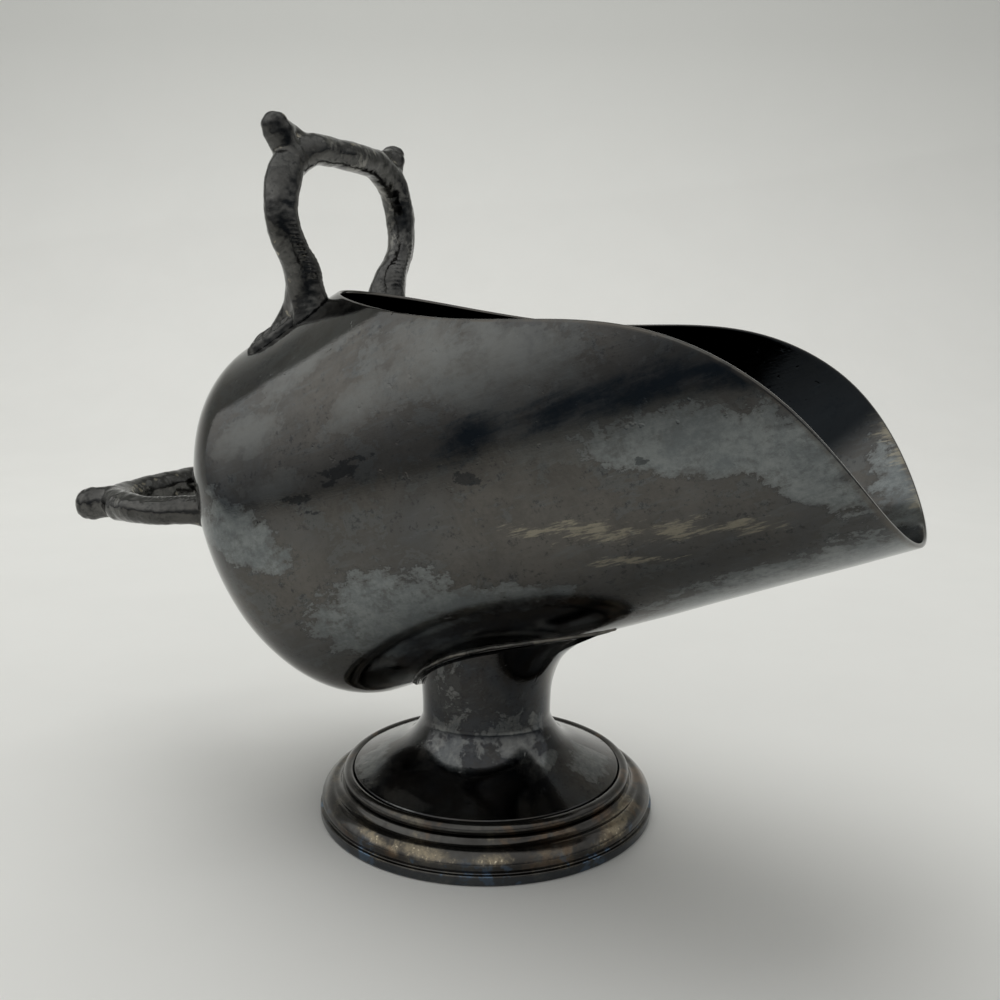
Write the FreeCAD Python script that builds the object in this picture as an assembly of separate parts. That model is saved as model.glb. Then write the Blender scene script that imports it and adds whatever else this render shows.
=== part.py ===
"""Footed serving scuttle in silver plate: a tilted, open-mouthed bowl on a pedestal foot.

Frame: millimetres, +Z up. The origin is the centre of the foot on the table. +X points to the
pouring lip, the rear handle is at the back (-X), and the part mirrors across the XZ plane apart from
the slight roll of the rear handle.
"""
import os
from math import cos, pi, radians, sin

import FreeCAD
import Part
from FreeCAD import Vector

# ---- driving dimensions, mm and degrees ----

# bowl
AXIS_TILT = 24.0            # rise of the bowl's long axis towards the lip
BOWL_CENTRE_X = -39.3       # where the rounded back meets the barrel, on the bowl's axis
BOWL_CENTRE_Z = 64.3
BACK_HALF_HEIGHT = 44.4     # across the axis, where the back meets the barrel
MOUTH_HALF_HEIGHT = 47.8    # the same at the far end of the barrel
HALF_GIRTH = 80.9           # half height plus half width, kept all along because the sheet doesn't stretch
BARREL_RUN = 132.0          # length over which the barrel changes from one section to the other
BARREL_LENGTH = 150.0       # of the uncut form; the opening cuts it back to the lip
BARREL_SECTIONS = 9
BACK_DEPTH = 25.8           # how far the rounded back reaches behind the barrel
BACK_FULLNESS = 2.27        # 2 is a true ellipse, more is a squarer back
BACK_STEPS = 10             # spans of the curve that draws the back
WALL = 0.9

# opening, as a line seen from the side: x, z
RIM_BACK = (-34.5, 115.4)
RIM_DIP = (14.0, 108.0)
RIM_SHOULDER = (48.9, 106.1)
RIM_CHEEK = (69.4, 96.1)
RIM_LIP = (89.3, 69.0)
RIM_BACK_SLOPE = (0.96, -0.22)
RIM_LIP_SLOPE = (0.50, -0.87)
CUT_OVERRUN = 12.0          # how far the cut goes on past both ends of that line
CUT_REACH = 130.0           # the block that is cut away reaches this far forward
CUT_TOP = 170.0             # and this far up
CUT_HALF_WIDTH = 80.0

# foot
FOOT_RADIUS = 37.5
FOOT_EDGE_HEIGHT = 2.1
FOOT_LAND = 3.2             # width of the flat band that stands on the table
RING_TOP_Z = 7.45           # ledge that carries the spun foot
RING_TOP_RADIUS = 32.3
DOME_RADIUS = 29.9
DOME_EDGE_Z = 9.8
NECK_RADIUS = 14.4
NECK_TOP_Z = 22.0
FOOT_SHEET = 1.1
BEAD_WIRE_RADIUS = 1.25

# saddle between neck and bowl
SADDLE_SIDE_GROWTH = 3.2    # how much wider the saddle is at its top than the neck
SADDLE_FRONT_REACH = 34.4   # how far its front leaf runs under the bowl
SADDLE_FRONT_Z = 46.8
SADDLE_WALL = 1.2
SOLDER_FILLET = 0.9

# handles
LEG_RADIUS = 3.35
CROSSBAR_RADIUS = 3.2
HANDLE_HALF_SPAN = 22.0     # widest point of a leg's centre line
HANDLE_BASE_HALF_SPAN = 14.6
CROSSBAR_BOW = 1.8          # how far the middle of the crossbar swings out of the handle's plane
THUMB_LENGTH = 10.3
THUMB_HALF_WIDTH = 3.5      # across the handle's plane
THUMB_HALF_THICKNESS = 3.0
HEEL_HEIGHT = 8.0           # where the heel behind each leg grows out of it
HANDLE_SECTIONS = 25
TOP_HANDLE_X = -36.2        # feet of the handle over the bowl
TOP_HANDLE_BASE_Z = 110.6
TOP_HANDLE_TOP_Z = 144.9    # centre line of its crossbar
TOP_HANDLE_LEAN = 3.5       # leaning back
REAR_HANDLE_BASE_X = -60.5
REAR_HANDLE_END_X = -101.2  # centre line of its crossbar
REAR_HANDLE_Z = 64.7        # plane of the handle behind the bowl
REAR_HANDLE_ROLL = 3.5      # it is soldered on a little askew
TOP_LEAF_FALL = 6.5         # how far the bowl falls away under the leaf tips, from the handle's base
REAR_LEAF_FALL = -0.5

# leaf plates under the handle legs
LEAF_LENGTH = 19.6
LEAF_WIDTH = 7.4
LEAF_THICKNESS = 1.9
LEAF_BACK_SHARE = 0.81      # share of the leaf behind the leg
LEAF_SPLAY = 8.0            # angle by which the leaves spread apart towards their tips

X_AXIS = Vector(1, 0, 0)
Y_AXIS = Vector(0, 1, 0)
Z_AXIS = Vector(0, 0, 1)
ORIGIN = Vector(0, 0, 0)


# ---- small helpers ----

def spline(points, start=None, end=None):
    """One smooth edge through the points, with optional end tangents."""
    curve = Part.BSplineCurve()
    if start is None:
        curve.interpolate(points)
    else:
        curve.interpolate(Points=points, InitialTangent=start, FinalTangent=end)
    return curve.toShape()


def lines(points):
    """Straight edges joining the points in order."""
    return [Part.makeLine(a, b) for a, b in zip(points[:-1], points[1:])]


def revolved(edges, centre, axis):
    """Solid of revolution of a closed outline."""
    face = Part.Face(Part.Wire(Part.__sortEdges__(edges)))
    return face.revolve(centre, axis, 360)


def solid_of(shape):
    """The single solid inside a boolean result, with needless edges removed."""
    solids = shape.removeSplitter().Solids
    if not solids:
        raise RuntimeError("a boolean left no solid")
    return max(solids, key=lambda s: s.Volume)


def rz(r, z):
    """A point of the XZ plane, or of a profile that turns about Z."""
    return Vector(r, 0, z)


# ---- bowl ----

def smooth_step(t):
    t = min(max(t, 0.0), 1.0)
    return t * t * (3 - 2 * t)


def half_height(s):
    """Half height of the barrel at a distance along its axis."""
    return BACK_HALF_HEIGHT + (MOUTH_HALF_HEIGHT - BACK_HALF_HEIGHT) * smooth_step(s / BARREL_RUN)


def ellipse_wire(s, half_h, half_w):
    """Upright ellipse across the bowl's axis, in the bowl's own frame."""
    if half_h >= half_w:
        ellipse = Part.Ellipse(Vector(s, 0, half_h), Vector(s, half_w, 0), Vector(s, 0, 0))
    else:
        ellipse = Part.Ellipse(Vector(s, half_w, 0), Vector(s, 0, half_h), Vector(s, 0, 0))
    return Part.Wire([ellipse.toShape()])


def place_bowl(shape):
    """From the bowl's own frame, with its axis along X, to the part's frame."""
    shape.rotate(ORIGIN, Y_AXIS, -AXIS_TILT)
    shape.translate(Vector(BOWL_CENTRE_X, 0, BOWL_CENTRE_Z))
    return shape


def bowl_form(grow):
    """The closed bowl form, larger than the outside of the sheet by grow (smaller if negative)."""
    depth = BACK_DEPTH + grow
    high = BACK_HALF_HEIGHT + grow
    wide = HALF_GIRTH - BACK_HALF_HEIGHT + grow
    meridian = []
    for i in range(BACK_STEPS + 1):
        a = radians(90 * (1 - i / BACK_STEPS))
        meridian.append(Vector(-depth * sin(a) ** (2 / BACK_FULLNESS), 0, high * cos(a)))
    curve = spline(meridian, Vector(0, 0, 1), Vector(1, 0, 0))
    edges = [curve] + lines([meridian[-1], ORIGIN, meridian[0]])
    back = revolved(edges, ORIGIN, X_AXIS)
    squeeze = FreeCAD.Matrix()
    squeeze.scale(Vector(1, wide / high, 1))
    back = back.transformGeometry(squeeze)
    sections = []
    for i in range(BARREL_SECTIONS):
        s = BARREL_LENGTH * i / (BARREL_SECTIONS - 1)
        h = half_height(s)
        sections.append(ellipse_wire(s, h + grow, HALF_GIRTH - h + grow))
    barrel = Part.makeLoft(sections, True)
    return place_bowl(solid_of(back.fuse(barrel)))


def opening_cutter():
    """Everything above the line of the rim, as a block across the bowl."""
    rim = [rz(x, z) for x, z in (RIM_BACK, RIM_DIP, RIM_SHOULDER, RIM_CHEEK, RIM_LIP)]
    back_slope = rz(*RIM_BACK_SLOPE)
    lip_slope = rz(*RIM_LIP_SLOPE)
    line = spline(rim, back_slope, lip_slope)
    behind = rim[0] - back_slope * CUT_OVERRUN
    below = rim[-1] + lip_slope * CUT_OVERRUN
    around = [rim[-1], below, rz(CUT_REACH, below.z), rz(CUT_REACH, CUT_TOP),
              rz(behind.x, CUT_TOP), behind, rim[0]]
    outline = Part.Wire(Part.__sortEdges__([line] + lines(around)))
    block = Part.Face(outline).extrude(Vector(0, 2 * CUT_HALF_WIDTH, 0))
    block.translate(Vector(0, -CUT_HALF_WIDTH, 0))
    return block


def make_body_shell(outer):
    inner = bowl_form(-WALL)
    return solid_of(outer.cut(inner).cut(opening_cutter()))


# ---- foot ----

def make_foot_rim_ring():
    """Base moulding: upright edge, crease, rounded torus, cove and the ledge for the spun foot."""
    edge_top = rz(FOOT_RADIUS, FOOT_EDGE_HEIGHT)
    crease = rz(FOOT_RADIUS - 0.75, FOOT_EDGE_HEIGHT + 0.35)
    torus_out = rz(FOOT_RADIUS - 0.45, FOOT_EDGE_HEIGHT + 1.9)
    torus_top = rz(RING_TOP_RADIUS + 2.4, RING_TOP_Z - 1.05)
    cove_low = rz(RING_TOP_RADIUS + 0.95, RING_TOP_Z - 1.0)
    ledge_out = rz(RING_TOP_RADIUS, RING_TOP_Z)
    ledge_in = rz(DOME_RADIUS - 1.9, RING_TOP_Z)
    land_in = rz(FOOT_RADIUS - FOOT_LAND, 0)
    torus = spline([crease, torus_out, rz(FOOT_RADIUS - 1.6, FOOT_EDGE_HEIGHT + 3.5), torus_top],
                   Vector(0.8, 0, 0.6), Vector(-1, 0, -0.05))
    cove = Part.Arc(torus_top, cove_low, ledge_out).toShape()
    edges = lines([land_in, rz(FOOT_RADIUS, 0), edge_top, crease])
    edges += [torus, cove]
    edges += lines([ledge_out, ledge_in, rz(DOME_RADIUS - 1.9, RING_TOP_Z - 1.3),
                    rz(FOOT_RADIUS - FOOT_LAND, RING_TOP_Z - 4.4), land_in])
    return revolved(edges, ORIGIN, Z_AXIS)


def make_pedestal_foot():
    """Spun foot: straight neck that flares into a shallow dome, rolled down at its edge."""
    neck_top = rz(NECK_RADIUS, NECK_TOP_Z)
    outside = [neck_top, rz(NECK_RADIUS + 0.9, NECK_TOP_Z - 3.2), rz(NECK_RADIUS + 3.4, NECK_TOP_Z - 6.8),
               rz(NECK_RADIUS + 8.0, NECK_TOP_Z - 9.3), rz(DOME_RADIUS, DOME_EDGE_Z)]
    inside = [rz(p.x - FOOT_SHEET * f, p.z - FOOT_SHEET * g)
              for p, f, g in zip(outside, (1.0, 1.0, 0.85, 0.5, 1.0), (0.0, 0.05, 0.6, 0.9, 0.7))]
    down = Vector(-0.03, 0, -1)
    out = Vector(1, 0, -0.42)
    outer_curve = spline(outside, down, out)
    inner_curve = spline(inside, down, out)
    edges = [outer_curve, inner_curve]
    edges += lines([inside[0], outside[0]])
    edges += lines([outside[-1], rz(DOME_RADIUS, RING_TOP_Z), rz(inside[-1].x, RING_TOP_Z), inside[-1]])
    return revolved(edges, ORIGIN, Z_AXIS)


def make_foot_bead_wire(ring, foot):
    """Fine wire soldered into the step between moulding and spun foot, flattened where it sits."""
    sink = 0.15
    wire = Part.makeTorus(DOME_RADIUS + BEAD_WIRE_RADIUS - sink, BEAD_WIRE_RADIUS,
                          rz(0, RING_TOP_Z + BEAD_WIRE_RADIUS - sink), Z_AXIS)
    return solid_of(wire.cut(ring).cut(foot))


# ---- saddle ----

def egg_wire(z, side, front):
    """Level section of the saddle: half a circle at the back, half an ellipse to the front."""
    left = Vector(0, side, z)
    right = Vector(0, -side, z)
    back = Part.Arc(left, Vector(-side, 0, z), right).toShape()
    if front - side < 0.01:
        nose = Part.Arc(right, Vector(side, 0, z), left).toShape()
    else:
        whole = Part.Ellipse(Vector(front, 0, z), Vector(0, side, z), Vector(0, 0, z))
        nose = Part.ArcOfEllipse(whole, -pi / 2, pi / 2).toShape()
    return Part.Wire([back, nose])


def saddle_form(inset):
    """The saddle as a full block that reaches up into the bowl."""
    rise = SADDLE_FRONT_Z - NECK_TOP_Z
    sections = []
    for share in (0.0, 0.2, 0.36, 0.5, 0.62, 0.74, 0.86, 1.0):
        side = NECK_RADIUS + SADDLE_SIDE_GROWTH * share ** 2
        front = NECK_RADIUS + (SADDLE_FRONT_REACH - NECK_RADIUS) * share ** 3.2
        sections.append(egg_wire(NECK_TOP_Z + rise * share, side - inset, max(front, side) - inset))
    return Part.makeLoft(sections, True)


def make_saddle_flange(outer):
    return solid_of(saddle_form(0).cut(saddle_form(SADDLE_WALL)).cut(outer))


def make_saddle_solder(outer, saddle):
    """Narrow fillet of solder between the saddle's edge and the bowl."""
    bulge = saddle_form(-SOLDER_FILLET)
    skin = bowl_form(SOLDER_FILLET)
    core = saddle_form(0.4)
    return solid_of(bulge.common(skin).cut(core).cut(outer).cut(saddle))


# ---- handles ----

def handle_centre_line(run):
    """Centre line of a handle: span along Y, height along Z from base to crossbar, bow along X."""
    w, b = HANDLE_HALF_SPAN, HANDLE_BASE_HALF_SPAN
    side = [
        Vector(0, b - 1.6, -5.0),
        Vector(0, b + 0.2, 2.0),
        Vector(0, b + 3.4, run * 0.30),
        Vector(0, w - 0.8, run * 0.46),
        Vector(0, w, run * 0.60),
        Vector(0, w - 0.8, run * 0.75),
        Vector(CROSSBAR_BOW * 0.10, w - 3.4, run * 0.895),
        Vector(CROSSBAR_BOW * 0.40, w * 0.62, run * 0.985),
        Vector(CROSSBAR_BOW * 0.80, w * 0.32, run),
    ]
    middle = Vector(CROSSBAR_BOW, 0, run)
    mirrored = [Vector(p.x, -p.y, p.z) for p in reversed(side)]
    return side + [middle] + mirrored


def handle_radius(share):
    """Radius of the casting at a share of its height: flared foot, even leg, thinner crossbar."""
    foot_flare = 0.9 * max(0.0, 1 - share / 0.22) ** 2
    thinning = (LEG_RADIUS - CROSSBAR_RADIUS) * smooth_step((share - 0.82) / 0.16)
    return LEG_RADIUS + foot_flare - thinning


def tapered(root, tip, across, stations):
    """Rounded limb from root to tip; each station is a share of the length and two half sizes."""
    along = (tip - root).normalize()
    first = (across - along * across.dot(along)).normalize()
    second = along.cross(first)
    sections = []
    for share, half_a, half_b in stations:
        p = root + (tip - root) * share
        big, small = (first * half_a, second * half_b)
        if half_b > half_a:
            big, small = (second * half_b, first * half_a)
        sections.append(Part.Wire([Part.Ellipse(p + big, p + small, p).toShape()]))
    return Part.makeLoft(sections, True)


def thumb(side, run):
    """Rounded thumb bud that leans outward and up from a shoulder."""
    root = Vector(-0.1, side * (HANDLE_HALF_SPAN - 4.4), run - 3.6)
    lean = Vector(-0.10, side * 0.42, 0.88).normalize()
    stations = []
    for share, swell in ((0.0, 0.96), (0.3, 1.0), (0.55, 0.98), (0.76, 0.86), (0.92, 0.58), (1.0, 0.14)):
        stations.append((share, THUMB_HALF_WIDTH * swell, THUMB_HALF_THICKNESS * swell))
    return tapered(root, root + lean * THUMB_LENGTH, X_AXIS, stations)


def heel(side, fall):
    """Ridge that runs down from a leg to the tip of its leaf; fall is how far the bowl drops away there."""
    back = -LEAF_LENGTH * LEAF_BACK_SHARE + 1.6
    splay = radians(-side * LEAF_SPLAY)
    tip = Vector(back * cos(splay), side * HANDLE_BASE_HALF_SPAN + back * sin(splay), 1.3 - fall)
    root = Vector(0.6, side * (HANDLE_BASE_HALF_SPAN + 1.6), HEEL_HEIGHT)
    stations = ((0.0, 2.6, 1.6), (0.35, 2.2, 1.9), (0.7, 1.7, 1.8), (1.0, 1.2, 1.0))
    return tapered(root, tip, Y_AXIS, stations)


def handle_form(run, fall):
    """A handle standing on the XY plane, with its legs reaching a little below it."""
    path = spline(handle_centre_line(run))
    curve = path.Curve
    first, last = path.ParameterRange
    sections = []
    for i in range(HANDLE_SECTIONS):
        u = first + (last - first) * i / (HANDLE_SECTIONS - 1)
        p = curve.value(u)
        along = curve.tangent(u)[0]
        sections.append(Part.Wire([Part.makeCircle(handle_radius(p.z / run), p, along)]))
    body = Part.makeLoft(sections, True)
    return body.fuse([thumb(1, run), thumb(-1, run), heel(1, fall), heel(-1, fall)])


def stand_on_top(shape):
    shape.translate(Vector(TOP_HANDLE_X, 0, TOP_HANDLE_BASE_Z))
    return shape


def stand_on_back(shape):
    shape.rotate(ORIGIN, Y_AXIS, -90)
    shape.rotate(ORIGIN, X_AXIS, REAR_HANDLE_ROLL)
    shape.translate(Vector(REAR_HANDLE_BASE_X, 0, REAR_HANDLE_Z))
    return shape


def leaf_outline(side):
    """Blade that grows up through the bowl's skin: a leaf in plan, blunt in front and pointed behind."""
    back = -LEAF_LENGTH * LEAF_BACK_SHARE
    front = back + LEAF_LENGTH
    half = LEAF_WIDTH / 2
    tip = Vector(back, 0, 0)
    nose = Vector(front, 0, 0)
    edge_a = spline([tip, Vector(back * 0.55, half * 0.9, 0), Vector(0, half, 0), nose],
                    Vector(0.25, 1, 0), Vector(0.1, -1, 0))
    edge_b = spline([tip, Vector(back * 0.55, -half * 0.9, 0), Vector(0, -half, 0), nose],
                    Vector(0.25, -1, 0), Vector(0.1, 1, 0))
    blade = Part.Face(Part.Wire([edge_a, edge_b])).extrude(Vector(0, 0, 60))
    blade.rotate(ORIGIN, Z_AXIS, -side * LEAF_SPLAY)
    blade.translate(Vector(0, side * HANDLE_BASE_HALF_SPAN, -30))
    return blade


def make_leaf(side, stand, outer, skin):
    blade = stand(leaf_outline(side))
    return solid_of(blade.common(skin).cut(outer))


def make_handle(run, lean, fall, stand, outer, leaves):
    form = handle_form(run, fall)
    form.rotate(ORIGIN, Y_AXIS, -lean)
    return solid_of(stand(form).cut(outer).cut(leaves[0]).cut(leaves[1]))


# ---- assembly ----

def build():
    outer = bowl_form(0)
    skin = bowl_form(LEAF_THICKNESS)
    parts = {"body_shell": make_body_shell(outer)}
    parts["foot_rim_ring"] = make_foot_rim_ring()
    parts["pedestal_foot"] = make_pedestal_foot()
    parts["foot_bead_wire"] = make_foot_bead_wire(parts["foot_rim_ring"], parts["pedestal_foot"])
    parts["saddle_flange"] = make_saddle_flange(outer)
    parts["saddle_solder"] = make_saddle_solder(outer, parts["saddle_flange"])
    top_run = TOP_HANDLE_TOP_Z - TOP_HANDLE_BASE_Z
    rear_run = REAR_HANDLE_BASE_X - REAR_HANDLE_END_X
    handles = (
        ("top_handle", stand_on_top, top_run, TOP_HANDLE_LEAN, TOP_LEAF_FALL),
        ("rear_handle", stand_on_back, rear_run, 0, REAR_LEAF_FALL),
    )
    for name, stand, run, lean, fall in handles:
        leaves = []
        for side, word in ((1, "left"), (-1, "right")):
            leaf = make_leaf(side, stand, outer, skin)
            parts[name + "_leaf_" + word] = leaf
            leaves.append(leaf)
        parts[name] = make_handle(run, lean, fall, stand, outer, leaves)
    return parts


def main():
    os.makedirs("parts", exist_ok=True)
    for name, shape in build().items():
        if not shape.isValid() or shape.Volume <= 0:
            print("check", name, shape.isValid(), shape.Volume)
        box = shape.BoundBox
        print("%-26s %9.0f mm3  x %7.1f..%6.1f  y %6.1f..%5.1f  z %6.1f..%6.1f  faces %d" % (
            name, shape.Volume, box.XMin, box.XMax, box.YMin, box.YMax, box.ZMin, box.ZMax, len(shape.Faces)))
        shape.exportStep("parts/" + name + ".step")


main()
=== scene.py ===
"""Looks of the footed silver-plate scuttle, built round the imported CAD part.

Shapes are worked out in millimetres, in the part's own frame (+X to the lip, +Z up, origin at
the centre of the foot), and turned into metres when a mesh is made.
"""

from math import cos, pi, radians, sin

import bpy
import numpy as np
import openvdb
from mathutils import Matrix, Vector


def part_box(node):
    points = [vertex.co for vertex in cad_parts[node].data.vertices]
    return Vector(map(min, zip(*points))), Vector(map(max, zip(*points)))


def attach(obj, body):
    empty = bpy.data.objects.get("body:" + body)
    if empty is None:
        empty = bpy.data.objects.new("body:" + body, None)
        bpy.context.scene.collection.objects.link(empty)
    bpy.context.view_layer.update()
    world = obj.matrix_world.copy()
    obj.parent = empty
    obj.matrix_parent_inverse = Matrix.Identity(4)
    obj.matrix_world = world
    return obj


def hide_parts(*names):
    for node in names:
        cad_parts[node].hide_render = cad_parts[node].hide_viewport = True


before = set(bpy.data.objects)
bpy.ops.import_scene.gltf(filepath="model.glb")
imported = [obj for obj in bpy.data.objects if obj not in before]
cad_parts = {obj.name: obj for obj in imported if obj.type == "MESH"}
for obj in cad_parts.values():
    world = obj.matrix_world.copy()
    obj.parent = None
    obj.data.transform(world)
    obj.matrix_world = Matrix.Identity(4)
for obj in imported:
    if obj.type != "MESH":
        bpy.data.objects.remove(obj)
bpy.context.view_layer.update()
MM = 0.001
BODY = "root"

# ---- bowl, mm; x and z are seen from the side ----
AXIS_TILT = radians(24.0)           # rise of the bowl's long axis towards the lip
BOWL_CENTRE = np.array([-39.3, 0.0, 64.3])      # where the rounded back meets the barrel
BACK_HALF_HEIGHT = 44.4             # across the axis, where the back meets the barrel
MOUTH_HALF_HEIGHT = 47.8            # the same at the far end of the barrel
HALF_GIRTH = 80.9                   # half height plus half width, the same all along
BARREL_RUN = 132.0                  # length over which the barrel changes its section
BARREL_LENGTH = 150.0               # before the opening cuts it back to the lip
BACK_DEPTH = 25.8
BACK_FULLNESS = 2.27                # 2 is a true ellipse, more is a squarer back
WALL = 0.9
RIM_POINTS = ((-34.5, 115.4), (14.0, 108.0), (48.9, 106.1), (69.4, 96.1), (89.3, 69.0))
RIM_SLOPES = ((0.96, -0.22), (0.50, -0.87))
RIM_OVERRUN = 40                    # how far the rim's line goes on past both ends
SHEET_COLUMNS, SHEET_ROWS = 288, 150

# ---- foot and saddle, mm ----
FOOT_RADIUS = 37.5
FOOT_EDGE_HEIGHT = 2.1
FOOT_LAND = 3.2                     # width of the flat band that stands on the table
FOOT_SHEET = 1.1
RING_TOP_Z = 7.45                   # ledge that carries the dome
RING_TOP_RADIUS = 32.3
DOME_RADIUS = 29.9
DOME_EDGE_Z = 9.8
NECK_RADIUS = 14.4
NECK_TOP_Z = 22.0
BEAD_WIRE_RADIUS = 1.25
SADDLE_SHEET = 1.2
SADDLE_SIDE_GROWTH = 3.2            # how much wider the saddle is at its top than the neck
SADDLE_FRONT_REACH = 34.4           # how far its front leaf runs under the bowl
SADDLE_FRONT_Z = 46.8
SADDLE_LIP = (                      # the plate's edge as it turns out along the bowl: reach and height
    (0.25, 0.26), (0.6, 0.44), (0.95, 0.52), (1.2, 0.47), (1.32, 0.3), (1.34, 0.12), (1.28, -0.05),
)
SOLDER_REACH = 1.35                 # from the saddle's seam out to the middle of the solder
SOLDER_RADIUS = 0.42
TURNED_COLUMNS = 320
SOLDER_COLUMNS, SOLDER_AROUND = 420, 10

# ---- handles, mm ----
LEG_RADIUS = 3.35
CROSSBAR_RADIUS = 3.2
HANDLE_HALF_SPAN = 22.0
HANDLE_BASE_HALF_SPAN = 14.6
THUMB_LENGTH = 10.3
TOP_HANDLE_BASE = np.array([-36.2, 0.0, 110.6])
TOP_HANDLE_RUN = 34.3
TOP_HANDLE_LEAN = radians(3.5)
REAR_HANDLE_BASE = np.array([-60.5, 0.0, 64.7])
REAR_HANDLE_RUN = 40.7
REAR_HANDLE_ROLL = radians(3.5)
# fall and rise of the heel, size of the thumb bud, bow of the crossbar and depth of the bar behind it
TOP_HANDLE_SHAPE = {"fall": 6.5, "heel_rise": 8.4, "bud_share": 0.97, "bow": 1.8, "bar_depth": 0.0}
REAR_HANDLE_SHAPE = {"fall": -0.5, "heel_rise": 8.0, "bud_share": 1.20, "bow": 0.4, "bar_depth": 3.1}
LEAF_LENGTH = 19.6
LEAF_WIDTH = 7.4
LEAF_BACK_SHARE = 0.81              # share of the leaf's length that lies behind its leg
LEAF_SPLAY = radians(8.0)
CASTING_SINK = 0.12                 # how deep a handle's foot goes into the bowl's form
HANDLE_VOXEL = 0.3
LEAF_VOXEL = 0.2
FIELD_STEP = 4                      # voxels from one sample of the coarse pass to the next
FIELD_LIMIT = 2.0                   # distances are stored no larger than this

# ---- marks on the bowl's sheet, mm: centre x and z, half length, half height above and below, turn ----
PALE_RIGHT = (
    ((-7.0, 50.0), (18.0, 10.0, 12.5), 20), ((15.0, 55.4), (19.0, 3.0, 3.4), 10),
    ((53.0, 85.5), (17.0, 10.0, 3.4), 0), ((71.0, 84.5), (15.0, 9.0, 4.0), -33),
    ((72.0, 63.6), (36.0, 5.5, 9.0), 22), ((-39.0, 62.0), (16.0, 9.0, 4.5), -16),
)
PALE_LEFT = (
    ((-22.0, 84.0), (16.0, 9.0, 6.0), 12), ((30.0, 62.0), (22.0, 7.0, 5.0), 20),
    ((62.0, 92.0), (13.0, 8.0, 5.0), -20), ((-46.0, 52.0), (10.0, 7.0, 5.0), 40),
)
PALE_INSIDE = (((86.0, 75.0), (14.0, 5.0, 8.0), -52),)
HAZE_RIGHT = (
    ((-24.0, 101.0), (18.0, 7.0, 3.5), 40), ((-38.0, 84.0), (10.0, 5.0, 4.0), 20),
    ((16.0, 101.0), (26.0, 8.0, 10.0), 0), ((-8.0, 92.0), (10.0, 5.0, 4.0), 30),
    ((45.0, 88.0), (26.0, 9.0, 4.0), 8), ((-30.0, 74.0), (9.0, 4.0, 3.0), 10),
)
HAZE_LEFT = (((0.0, 96.0), (30.0, 9.0, 7.0), 10), ((-30.0, 84.0), (14.0, 8.0, 6.0), 30))
DEEP_RIGHT = (
    ((47.0, 96.0), (21.0, 4.6, 3.4), 17), ((61.0, 99.8), (13.0, 3.6, 4.0), 2),
    ((33.0, 92.2), (10.0, 4.0, 3.2), 22), ((16.0, 87.0), (8.0, 4.4, 4.2), 25),
)
THICK_RIGHT = (
    ((-12.0, 79.4), (6.0, 1.5, 1.5), 16), ((-7.5, 82.2), (3.6, 0.9, 0.9), 10),
    ((-14.5, 76.6), (2.6, 0.7, 0.7), 5), ((-23.0, 72.9), (4.0, 0.9, 0.9), 10),
    ((-19.0, 70.6), (2.6, 0.5, 0.5), 15), ((15.6, 79.4), (3.0, 1.4, 0.9), 8),
    ((47.5, 84.6), (1.5, 0.7, 0.6), 10),
)
THICK_LEFT = (((10.0, 88.0), (8.0, 3.0, 2.0), 20), ((-30.0, 66.0), (5.0, 3.0, 2.0), 0))
WORN_RIGHT = (
    ((38.0, 71.4), (14.0, 2.6, 2.4), 4), ((27.0, 70.8), (7.0, 1.6, 1.4), 4),
    ((53.0, 72.6), (8.0, 2.2, 1.6), 8), ((62.0, 74.0), (7.5, 1.8, 1.5), 5),
    ((44.0, 66.2), (10.0, 1.0, 1.0), 8),
)
WORN_LEFT = (((5.0, 70.0), (13.0, 2.0, 2.0), 10), ((52.0, 76.0), (10.0, 1.8, 1.8), 14))
WORN_INSIDE = (((82.0, 85.0), (12.0, 5.0, 5.0), -50), ((87.0, 77.0), (8.0, 3.5, 3.5), -60))
INNER_SHADE_EDGE = (75.5, 89.0)           # a point on the edge of the painted shade inside, x and z
INNER_SHADE_ACROSS = (0.69, -0.725)       # direction from there towards the lip

# the same on the foot: distance to the right of its axis and height, front and back
# worn gold on the moulding's front, placed where its highlight shows: wear and painted highlight
GOLD_HIGHLIGHT_FRONT = (
    ((-11.0, 5.2), (9.0, 1.5, 1.5), -3), ((1.0, 4.8), (6.0, 1.5, 1.3), 0),
    ((26.5, 5.2), (6.5, 2.4, 2.2), 16), ((-22.0, 5.4), (6.0, 1.2, 1.2), -10),
)
GOLD_BACK = (((12.0, 5.0), (11.0, 1.7, 1.6), 0), ((-20.0, 5.4), (8.0, 2.0, 2.0), 6))
DOME_PALE_FRONT = (
    ((-26.5, 11.6), (6.0, 3.0, 1.6), 0), ((24.0, 12.4), (6.5, 2.6, 1.6), -12),
    ((-17.0, 10.4), (7.0, 1.1, 0.7), 0), ((-8.0, 16.2), (4.5, 1.6, 1.2), -20),
    ((12.0, 14.6), (4.0, 1.6, 1.2), 15),
)
DOME_PALE_BACK = (((-16.0, 13.0), (9.0, 3.0, 2.0), 0), ((10.0, 12.0), (8.0, 2.0, 1.4), 8))

# ---- view and stage, mm ----
VIEW_AZIMUTH = radians(29.174)
VIEW_PITCH = radians(9.188)
VIEW_ROLL = radians(0.388)
VIEW_FROM = (107.97, -187.80, 104.82)
VIEW_LENS = 36.04
VIEW_SENSOR = 36.0
VIEW_ALONG = np.array([-sin(VIEW_AZIMUTH), cos(VIEW_AZIMUTH), 0.0])
VIEW_ACROSS = np.array([cos(VIEW_AZIMUTH), sin(VIEW_AZIMUTH), 0.0])
FLOOR_HALF_WIDTH = 2600.0
FLOOR_FRONT = -330.0                # edge of the sheet that the part stands on
FLOOR_BEND = 450.0                  # where the floor starts to curve up
FLOOR_CURVE = 500.0                 # radius of that curve
OUTER_FLOOR_FRONT = -4000.0
OUTER_FLOOR_DROP = -0.4

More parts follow.
